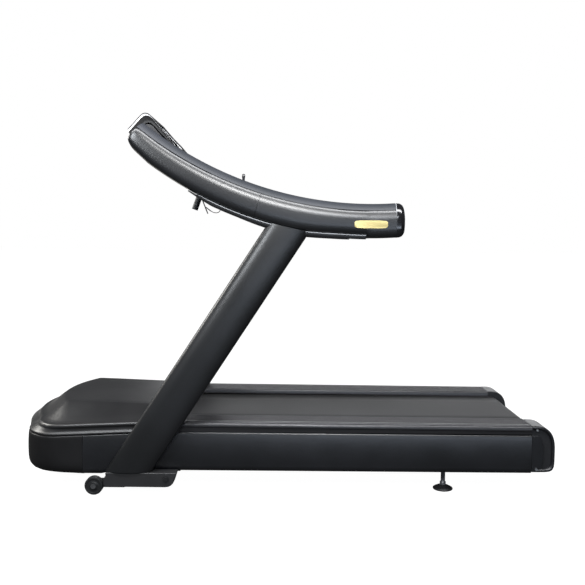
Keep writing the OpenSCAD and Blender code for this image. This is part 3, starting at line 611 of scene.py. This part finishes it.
for side, sign in SIDES:
    stations = arm_stations(SEAM + 0.02, 34.0, 24, STRIP, shell_bottom)
    bm = bmesh.new()
    loft(bm, [arm_ring(ends, body_side, sign) for ends in stations]
         + [arm_ring(ends, body_side, sign, width) for ends, width in zip(NOSE, NOSE_WIDTHS)])
    publish(bm, "arm_shell_front_" + side, arm_lacquer, "frame", "arm_shell", "arm_front_" + side, sharp=50)
    stations = arm_stations(REAR_ANGLE, SEAM - 0.02, 60, STRIP, shell_bottom)
    bm = bmesh.new()
    loft(bm, [arm_ring(ends, body_side, sign) for ends in stations])
    publish(bm, "arm_shell_rear_" + side, arm_lacquer, "frame", "arm_shell", "arm_rear_" + side, sharp=50)
    stations = arm_stations(REAR_ANGLE, 37.9, 60, 0, lambda angle: STRIP - 0.0006)
    bm = bmesh.new()
    loft(bm, [arm_ring(ends, strip_side, sign) for ends in stations]
         + [arm_ring(((-0.5165, 1.4085), (-0.5345, 1.3895)), strip_side, sign, 0.98),
            arm_ring(((-0.5200, 1.4055), (-0.5355, 1.3905)), strip_side, sign, 0.93)])
    publish(bm, "arm_top_strip_" + side, strip_rubber, "frame", "arm_strip", "arm_caps", sharp=50)
    whole = arm_side(0, 1)
    bm = bmesh.new()
    sections = []
    for i in range(END_STEPS + 1):
        out = sin(pi / 2 * i / END_STEPS)
        shrink = (1 - out ** 3.0) ** (1 / 3.0)
        tall = ARM_T * (0.18 + 0.82 * shrink)
        x = END_X + END_LENGTH * out
        sections.append(arm_ring(((x, END_Z + tall / 2), (x, END_Z - tall / 2)), whole, sign,
                                 0.35 + 0.65 * shrink))
    loft(bm, sections)
    publish(bm, "arm_end_cap_" + side, gloss_abs, "frame", "arm_strip", sharp=60)
    # A thin pale ring between shell and end cap: a painted highlight line on that edge.
    bm = bmesh.new()
    loft(bm, [arm_ring(((x, 1.1198), (x, 0.9918)), whole, sign, 0.995) for x in (0.4248, 0.4270)])
    publish(bm, "arm_end_highlight_ring_" + side, pale_highlight_abs, "frame", "arm_strip", sharp=60)
    # The liner's bead is pale grey as a painted highlight: the floor's reflection along the rail's underside,
    # drawn as a pale strip.
    for piece, grow, start, half, thick, material in (
            ("arm_liner_", 0.0015, 27.0, 0.036, 0.0135, cap_abs),
            ("arm_liner_highlight_bead_", -0.001, 25.8, 0.0375, 0.0038, pale_highlight_abs)):
        bm = bmesh.new()
        sections = []
        for i in range(LINER_STEPS + 1):
            angle = radians(start - (start - 0.6) * i / LINER_STEPS)
            top = shell_bottom(angle) + grow
            deep = thick * min(1, 0.3 + i * 0.1)
            shape = [(top, -half), (top, half), (top + deep * 0.6, half), (top + deep, half - 0.004),
                     (top + deep, 0.004 - half), (top + deep * 0.6, -half)]
            spots = [(arm_point(angle, depth), across) for depth, across in shape]
            sections.append([(x, sign * (ARM_MID + across), z) for (x, z), across in spots])
        loft(bm, sections)
        publish(bm, piece + side, material, "frame", "arm_shell", sharp=50)


# ---- Blank badge plates ----
# A plain champagne anodised plate, without any marking, on each hand rail's outer face.
# It is a thin pressing with rounded corners, stuck on.
def anodised_champagne():
    """Champagne anodised pressing, with fine brushing along X."""
    material, tree, shader, place = start_material("anodised_champagne", Metallic=0.4, Roughness=0.42)
    brushing = drawn_lines(tree, place, (12, 900, 900))
    connect(tree, shader, Base_Color=two_tones(tree, brushing, "#b5a468", "#cdbf88"))
    return material


plate_metal = anodised_champagne()
for side, sign in SIDES:
    bm = bmesh.new()
    outline = [superellipse(2 * pi * k / 48, 0.062, 0.0145, 5) for k in range(48)]
    loft(bm, [[(0.332 + dx * s, sign * y, 1.0395 + dz * s) for dx, dz in outline]
              for y, s in ((0.4600, 1.0), (0.4647, 1.0), (0.4655, 0.985))])
    publish(bm, "badge_plate_" + side, plate_metal, "frame", "trim_silver", sharp=50)


# ---- Console ----
# A low moulded housing between the hand rails, highest in the middle. A black visor runs over
# its top edge with a silver band near each end, above a smoked display lens and a keypad.
CROWN = 0.075
CROWN_START = 0.150
CROWN_RUN = 0.20


def crown_drop(y):
    """How far the console's top has slid down the face towards the hand rails."""
    t = min(1, max(0, (abs(y) - CROWN_START) / CROWN_RUN))
    return CROWN * sin(pi / 2 * t)


def crowned(x, y, z, floor=1.31):
    """A console point moved down the face by the crown, more the higher it is."""
    share = min(1, max(0, (z - floor) / 0.11))
    drop = crown_drop(y) * share
    return (x + 0.66 * drop, y, z - 0.75 * drop)


low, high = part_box("console_housing")
console_abs = moulded_plastic("grained_abs_black", "#1a1a1c", "#212123", 0.5, 0.05, grain=1.0, relief=0.3)
HOUSING = [(-0.6285, 1.4095), (-0.6220, 1.4125), (-0.5780, 1.4605), (-0.5690, 1.4675), (-0.5610, 1.4695),
           (-0.5520, 1.4682), (-0.5450, 1.4650), (-0.5395, 1.4600), (-0.4680, 1.3790), (-0.4055, 1.3080),
           (-0.3980, 1.2995), (-0.4000, 1.2940), (-0.4250, 1.2905), (-0.5600, 1.3455), (-0.6000, 1.3780)]
WIDTH_STEPS = 36
bm = bmesh.new()
loft(bm, [[crowned(x, y, z) for x, z in HOUSING]
          for y in [low.y + (high.y - low.y) * i / WIDTH_STEPS for i in range(WIDTH_STEPS + 1)]])
publish(bm, "console_shell", console_abs, "frame", "console_plastic", "console_housing", sharp=50,
        bevel=0.002)

silver = moulded_plastic("silver_lacquered_abs", "#dcdddf", "#e8e9ea", 0.35, 0.04, grain=3.0, relief=0.02,
                         specular=0.5)
OUTSIDE = [(-0.6345, 1.4250), (-0.6090, 1.4525), (-0.5860, 1.4780), (-0.5755, 1.4877), (-0.5630, 1.4918),
           (-0.5500, 1.4890), (-0.5380, 1.4795), (-0.5040, 1.4400), (-0.4660, 1.3975)]
INSIDE = [(-0.4670, 1.3935), (-0.5085, 1.4370), (-0.5425, 1.4740), (-0.5525, 1.4815), (-0.5630, 1.4838),
          (-0.5720, 1.4800), (-0.5810, 1.4715), (-0.6045, 1.4470), (-0.6290, 1.4205)]
VISOR_HALF = 0.1485
BAND_START = 0.152
BAND_END = 0.170
WING_END = 0.345
SET_DOWN = 0.0048
CREST = 7


def visor_strip(start, end, set_down=0.0):
    """The visor's stretch between two distances from the middle, on both sides, set down a little."""
    bm = bmesh.new()
    for left, right in ((-end, -start), (start, end)):
        steps = max(4, round((end - start) / 0.012))
        loft(bm, [[crowned(x, y, z - set_down) for x, z in OUTSIDE + INSIDE]
                  for y in [left + (right - left) * k / steps for k in range(steps + 1)]])
    return bm


def visor_middle():
    """The visor's middle stretch, over the top edge only."""
    bm = bmesh.new()
    steps = round(2 * VISOR_HALF / 0.012)
    loft(bm, [[crowned(x, y, z) for x, z in OUTSIDE[:CREST] + INSIDE[2:]]
              for y in [-VISOR_HALF + 2 * VISOR_HALF * k / steps for k in range(steps + 1)]])
    return bm


publish(visor_strip(BAND_START, BAND_END, SET_DOWN), "console_visor_band", silver, "frame", "trim_silver",
        "console_trim", sharp=50)
publish(visor_middle(), "console_visor", tub_abs, "frame", "console_plastic", sharp=50)
publish(visor_strip(VISOR_HALF, BAND_START), "console_visor_rim", tub_abs, "frame", "console_plastic",
        sharp=50)
publish(visor_strip(BAND_END, WING_END, SET_DOWN), "console_visor_wings", tub_abs, "frame",
        "console_plastic", sharp=50)


FACE_TOP = (-0.5405, 1.4615)
FACE_SLOPE = radians(48.7)


def on_face(u, y, out):
    """A point on the console's sloped face: u down it and out of it."""
    return (FACE_TOP[0] + u * cos(FACE_SLOPE) + out * sin(FACE_SLOPE), y,
            FACE_TOP[1] - u * sin(FACE_SLOPE) + out * cos(FACE_SLOPE))


def smoked_acrylic():
    """Smoked acrylic: near black, polished, with the faint grey windows of the readouts behind it."""
    material, tree, shader, place = start_material("smoked_acrylic", Roughness=0.08, Specular_IOR_Level=0.5,
                                                   Coat_Weight=0.3)
    windows = add_node(tree, "ShaderNodeTexBrick",
                       {"Scale": 1.0, "Mortar Size": 0.006, "Brick Width": 0.062, "Row Height": 0.034,
                        "Color1": linear("#141518"), "Color2": linear("#1a1b1f"),
                        "Mortar": linear("#08090a")},
                       {"Vector": place})
    windows.offset = 0.0
    connect(tree, shader, Base_Color=windows.outputs["Color"])
    return material


LENS_AT = 0.084
KEYPAD_AT = 0.176
KEY_COLUMNS = 8
KEY_ROWS = 2
bm = bmesh.new()
lens = [superellipse(2 * pi * k / 64, 0.060, 0.148, 8) for k in range(64)]
loft(bm, [[on_face(LENS_AT + du * s, dy * s, out) for du, dy in lens]
          for out, s in ((0.0003, 1.0), (0.0024, 1.0), (0.0032, 0.994))])
publish(bm, "display_window", smoked_acrylic(), "frame", "lens_glass", "display_lens", sharp=50)

key_film = moulded_plastic("membrane_polyester", "#34363a", "#3c3e43", 0.42, 0.04, grain=0.6, relief=0.1)
bm = bmesh.new()
pad = [superellipse(2 * pi * k / 48, 0.026, 0.180, 7) for k in range(48)]
loft(bm, [[on_face(KEYPAD_AT + du, dy, out) for du, dy in pad] for out in (0.0003, 0.0022)])
publish(bm, "keypad_film", key_film, "frame", "key_plastic", "keypad", sharp=50)
key_caps = moulded_plastic("moulded_silicone_keys", "#54575c", "#63666c", 0.5, 0.04)
bm = bmesh.new()
cap = [superellipse(2 * pi * k / 20, 0.008, 0.0165, 4) for k in range(20)]
for i in range(KEY_COLUMNS):
    for j in range(KEY_ROWS):
        loft(bm, [[on_face(0.165 + j * 0.022 + du * s, -0.1505 + i * 0.043 + dy * s, out) for du, dy in cap]
                  for out, s in ((0.0015, 1.0), (0.0032, 1.0), (0.0037, 0.9))])
publish(bm, "keypad_keys", key_caps, "frame", "key_plastic", sharp=40)


# ---- Tray, stop switch and hand bar ----
# The tray, its bottle wells and the stop switch keep their CAD solids. The hand bar is drawn
# as its foam sleeve, and the two joysticks are turned plastic on small bosses.
def finish_node(name, material):
    """Gives a shown CAD node its material."""
    piece = nodes[name]
    for place in piece.material_slots:
        place.material = material
    if not piece.material_slots:
        piece.data.materials.append(material)


tray_abs = moulded_plastic("grained_abs_tray", "#1b1b1d", "#232325", 0.52, 0.05, grain=1.2, relief=0.3)
well_liner = moulded_plastic("moulded_polypropylene", "#161617", "#1b1b1c", 0.6, 0.05)
switch_abs = moulded_plastic("moulded_nylon_black", "#141415", "#1d1d1f", 0.45, 0.05)
red_abs = moulded_plastic("moulded_abs_red", "#8e1414", "#a51a19", 0.28, 0.04, specular=0.5)
finish_node("accessory_tray", tray_abs)
finish_node("bottle_wells", well_liner)
finish_node("stop_switch", switch_abs)
finish_node("safety_clip", switch_abs)
finish_node("stop_button", red_abs)


def tube_along_y(bm, profile, x, z, count=40):
    """A turned shape about an axis along Y, from (y, radius) pairs."""
    loft(bm, [[(x + r * cos(2 * pi * k / count), y, z + r * sin(2 * pi * k / count)) for k in range(count)]
              for y, r in profile])


def turned_up(bm, profile, x, y, z, count=40):
    """A turned shape about a vertical axis, from (height, radius) pairs."""
    loft(bm, [[(x + r * cos(2 * pi * k / count), y + r * sin(2 * pi * k / count), z + h)
               for k in range(count)] for h, r in profile])


foam = moulded_plastic("closed_cell_foam", "#1e1e1f", "#262627", 0.85, 0.05, grain=1.6, relief=0.5,
                       specular=0.2)
low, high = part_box("hand_bar")
bar_x = (low.x + high.x) / 2
bar_r = (high.x - low.x) / 2
bar_z = low.z + bar_r
bm = bmesh.new()
tube_along_y(bm, [(low.y, bar_r - 0.002), (-0.262, bar_r - 0.002), (-0.260, bar_r - 0.001), (-0.257, bar_r),
                  (0.257, bar_r), (0.260, bar_r - 0.001), (0.262, bar_r - 0.002), (high.y, bar_r - 0.002)],
             bar_x, bar_z, 48)
publish(bm, "hand_bar_sleeve", foam, "frame", "bar_foam", "hand_bar", sharp=50)
STICK_Y = 0.300
boss = [superellipse(2 * pi * k / 40, 0.017, 0.020, 5) for k in range(40)]
bm = bmesh.new()
for side, sign in SIDES:
    loft(bm, [[(bar_x + dx * s, sign * STICK_Y + dy * s, bar_z + h) for dx, dy in boss]
              for h, s in ((0.004, 1.0), (0.0245, 1.0), (0.0265, 0.95), (0.0267, 0.55))], caps=False)
publish(bm, "joystick_bosses", switch_abs, "frame", "bar_foam", sharp=40)
for side, sign in SIDES:
    low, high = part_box("joystick_" + side)
    bm = bmesh.new()
    middle = (low.y + high.y) / 2
    tall = high.z - low.z
    turned_up(bm, [(0.004, 0.0045), (0.020, 0.0048), (tall - 0.020, 0.0052), (tall - 0.014, 0.0062),
                   (tall - 0.006, 0.0065), (tall - 0.0025, 0.0052), (tall - 0.0006, 0.0028), (tall, 0.0006)],
              bar_x, middle, low.z, 32)
    publish(bm, "joystick_lever_" + side, gloss_abs, "joystick_" + side, "stick_plastic",
            "joystick_" + side, sharp=50)


# ---- Lift levers and front wheels ----
# Heavy steel levers joined by a pivot tube and a cross tube, powder coated black. Each
# carries a moulded polyurethane wheel on a stub axle.
lever_steel = powder_coat("powder_coat_black_coarse", "#1d1d1e", "#242425", 0.45, 0.4)
LEVER = [(-0.6698, 0.050), (-0.6668, 0.0425), (-0.659, 0.0386), (-0.436, 0.0382), (-0.4235, 0.0397),
         (-0.4132, 0.0444), (-0.4062, 0.0527), (-0.3918, 0.0935), (-0.661, 0.0935), (-0.6615, 0.078),
         (-0.6658, 0.0728), (-0.6698, 0.0708)]
for side, sign in SIDES:
    bm = bmesh.new()
    loft(bm, [[(x, sign * y, z) for x, z in LEVER] for y in (0.4042, 0.4558)])
    publish(bm, "lift_lever_" + side, lever_steel, "lift_lever", "lift_paint", bevel=0.003)
finish_node("lift_frame", lever_steel)
black_oxide = powder_coat("black_oxide_steel", "#101011", "#1a1a1b", 0.4, 0.5)
finish_node("lift_pivot_bolts", black_oxide)

TREAD_GROOVES = 4
TREAD_PITCH = 0.0048
tyre = moulded_plastic("moulded_polyurethane", "#131414", "#1a1b1c", 0.42, 0.06, grain=1.5, relief=0.2)
for side, sign in SIDES:
    low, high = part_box("front_wheel_" + side)
    x, z = (low.x + high.x) / 2, (low.z + high.z) / 2
    r = (high.z - low.z) / 2
    inner, outer = sorted((abs(low.y), abs(high.y)))
    profile = [(inner + 0.001, 0.0075), (inner, 0.009), (inner, 0.0135), (inner + 0.002, 0.014),
               (inner + 0.002, r - 0.003), (inner + 0.003, r - 0.001), (inner + 0.005, r)]
    for i in range(TREAD_GROOVES):
        start = inner + 0.0065 + i * TREAD_PITCH
        profile += [(start, r), (start + 0.0006, r - 0.0012), (start + 0.0016, r - 0.0012),
                    (start + 0.0022, r)]
    profile += [(outer - 0.004, r), (outer - 0.002, r - 0.001), (outer - 0.0012, r - 0.0035),
                (outer - 0.0015, r - 0.0075), (outer - 0.004, r - 0.009), (outer - 0.005, 0.016),
                (outer - 0.004, 0.0142), (outer, 0.0135), (outer, 0.008), (outer - 0.002, 0.0066)]
    bm = bmesh.new()
    tube_along_y(bm, [(sign * y, radius) for y, radius in profile], x, z, 56)
    publish(bm, "transport_wheel_" + side, tyre, "wheel_" + side, "wheel_plastic",
            "front_wheel_" + side, sharp=40)


# ---- Rear feet ----
# A moulded rubber pad on a threaded steel stem, locked by a nut under the side rail.
# The thread is drawn as rings with a 2.5 mm pitch.
foot_rubber = moulded_plastic("moulded_rubber", "#18181a", "#202022", 0.5, 0.06, grain=1.5, relief=0.2)
THREAD_TURNS = 20
THREAD_PITCH = 0.0025
stem_steel = powder_coat("zinc_steel_dark", "#3a3b3d", "#4a4b4e", 0.35, 0.6)
for side, sign in SIDES:
    low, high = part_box("rear_foot_" + side)
    x, y = (low.x + high.x) / 2, (low.y + high.y) / 2
    pad_r = (high.x - low.x) / 2
    bm = bmesh.new()
    turned_up(bm, [(0.0, pad_r - 0.003), (0.001, pad_r - 0.001), (0.003, pad_r), (0.006, pad_r - 0.0005),
                   (0.0085, pad_r - 0.004), (0.0125, pad_r - 0.012), (0.0155, pad_r - 0.018),
                   (0.0175, 0.015), (0.0190, 0.0125)], x, y, low.z, 56)
    publish(bm, "foot_pad_" + side, foot_rubber, "foot_" + side, "foot_rubber", "rear_foot_" + side, sharp=50)
    profile = [(0.0185, 0.0118), (0.030, 0.0118), (0.032, 0.009)]
    for i in range(THREAD_TURNS):
        profile += [(0.0345 + i * THREAD_PITCH, 0.0089), (0.03575 + i * THREAD_PITCH, 0.0080)]
    profile += [(0.090, 0.0085), (high.z, 0.0085)]
    bm = bmesh.new()
    turned_up(bm, profile, x, y, low.z, 28)
    publish(bm, "foot_stem_" + side, stem_steel, "foot_" + side, "foot_rubber", sharp=80)


# ---- Inside parts ----
# Frame, deck, rollers, motor and lift actuator keep their CAD solids. They show from
# below, at the rear and with the hood off, so each has its own finish.
def bright_steel(name, dark, light, roughness, lines):
    """Turned, ground or plated metal, with fine lines from the tool, given as a number a metre."""
    material, tree, shader, place = start_material(name, Metallic=1.0)
    marks = drawn_lines(tree, place, lines, 4.0)
    connect(tree, shader, Base_Color=two_tones(tree, marks, dark, light),
            Roughness=mapped(tree, marks, roughness - 0.08, roughness + 0.08),
            Normal=bumps(tree, marks, 0.1, 0.0002))
    return material


turned = bright_steel("turned_steel", "#8a8d91", "#b3b6b9", 0.32, (60, 900, 60))
ground = bright_steel("ground_steel", "#9a9da1", "#c4c6c9", 0.25, (300, 300, 300))
zinc = bright_steel("zinc_plate", "#9fa2a5", "#cfd1d3", 0.3, (400, 400, 400))
iron = bright_steel("turned_cast_iron", "#4c4e51", "#6a6c70", 0.45, (60, 900, 60))
frame_coat = powder_coat("powder_coat_frame", "#19191b", "#202023", 0.5, 0.35)
rubber = moulded_plastic("cured_rubber", "#141414", "#1b1b1b", 0.7, 0.05, specular=0.25)
board = moulded_plastic("resin_board_green", "#12301d", "#1a4128", 0.45, 0.05)
deck_face = moulded_plastic("phenolic_faced_plywood", "#2a211b", "#3a2e25", 0.5, 0.06, grain=4.0, patch=60)
FINISHES = {
    "frame_side_left": frame_coat, "frame_side_right": frame_coat, "frame_cross_members": frame_coat,
    "motor_bracket": frame_coat, "post_brackets": frame_coat, "lift_actuator": frame_coat,
    "running_deck": deck_face, "deck_cushions": rubber, "drive_belt": rubber,
    "front_roller": turned, "rear_roller": turned, "motor_rotor": turned, "motor_flywheel": iron,
    "roller_axles": ground, "roller_bearings": ground, "lift_tube": ground, "wheel_axles": ground,
    "tension_bolts": zinc, "cap_screws": zinc, "foot_lock_nuts": zinc, "post_bolts": zinc,
    "drive_motor": frame_coat, "motor_controller": board, "power_inlet": switch_abs,
}
for name, material in FINISHES.items():
    finish_node(name, material)


# ---- Stage ----
# A floor and surround that the camera sees white and that light little. Softboxes over the
# near side light the hand rails and posts, long ones the edges, the panels and the far side,
# one lies on the far floor facing up, and one stands ahead of the nose.
floor_material, tree, shader, place = start_material("floor", Roughness=0.9, Specular_IOR_Level=0.0)
shader.inputs["Base Color"].default_value = linear("#6a6a6a")
shader.inputs["Emission Color"].default_value = (1, 1, 1, 1)
shader.inputs["Emission Strength"].default_value = 0.99
ray = add_node(tree, "ShaderNodeLightPath")
dim = add_node(tree, "ShaderNodeBsdfDiffuse", {"Color": linear("#3c3c3c")})
mix = add_node(tree, "ShaderNodeMixShader", links={"Fac": ray.outputs["Is Camera Ray"],
                                                   1: dim.outputs["BSDF"], 2: shader.outputs["BSDF"]})
tree.links.new(mix.outputs["Shader"], tree.nodes["Material Output"].inputs["Surface"])
bm = bmesh.new()
bmesh.ops.create_grid(bm, x_segments=8, y_segments=8, size=60)
mesh = bpy.data.meshes.new("floor")
bm.to_mesh(mesh)
bm.free()
mesh.materials.append(floor_material)
floor = bpy.data.objects.new("floor", mesh)
scene.collection.objects.link(floor)

world = bpy.data.worlds.new("studio")
world.use_nodes = True
scene.world = world
tree = world.node_tree
for old in list(tree.nodes):
    tree.nodes.remove(old)
ray = add_node(tree, "ShaderNodeLightPath")
seen = add_node(tree, "ShaderNodeBackground", {"Color": (1, 1, 1, 1), "Strength": 1.0})
lit = add_node(tree, "ShaderNodeBackground", {"Color": (0.93, 0.96, 1, 1), "Strength": 0.12})
mix = add_node(tree, "ShaderNodeMixShader", links={"Fac": ray.outputs["Is Camera Ray"],
                                                   1: lit.outputs["Background"],
                                                   2: seen.outputs["Background"]})
add_node(tree, "ShaderNodeOutputWorld", links={"Surface": mix.outputs["Shader"]})


def softbox(name, spot, target, width, height, power, tint):
    """A rectangular area light that faces a target."""
    light = bpy.data.lights.new(name, "AREA")
    light.shape = "RECTANGLE"
    light.size = width
    light.size_y = height
    light.energy = power
    light.color = tint
    lamp = bpy.data.objects.new(name, light)
    facing = (Vector(target) - Vector(spot)).to_track_quat("-Z", "Y")
    lamp.matrix_world = Matrix.Translation(spot) @ facing.to_matrix().to_4x4()
    scene.collection.objects.link(lamp)


softbox("hand_rail_front", (0.08, -3.20, 2.34), (-0.30, -0.46, 1.18), 0.30, 0.45, 62, (1, 1, 1))
softbox("hand_rail_rear", (0.60, -3.25, 2.00), (0.20, -0.46, 1.08), 0.6, 0.4, 16, (0.88, 0.93, 1))
softbox("post_top", (-1.4, -2.3, 1.85), (-0.05, -0.46, 0.95), 0.5, 0.7, 34, (0.92, 0.96, 1))
softbox("long_edges", (-0.1, -1.5, 2.9), (0, -0.4, 0.25), 4.5, 0.5, 170, (0.97, 0.98, 1))
softbox("low_near_side", (1.1, -4.0, 0.60), (0.3, -0.4, 0.2), 3.4, 0.4, 24, (0.74, 0.84, 1))
softbox("far_side", (1.5, 4.6, 1.5), (0, 0, 0.3), 6.0, 1.5, 60, (0.97, 0.98, 1))
softbox("far_floor", (-2.2, 2.8, 0.02), (-2.2, 2.8, 1), 2.6, 3.0, 40, (1, 0.98, 0.93))
softbox("nose", (-3.0, 0.4, 2.0), (-0.8, 0, 0.3), 1.0, 1.0, 60, (1, 0.98, 0.93))

scene.view_settings.view_transform = "Standard"
scene.view_settings.look = "None"
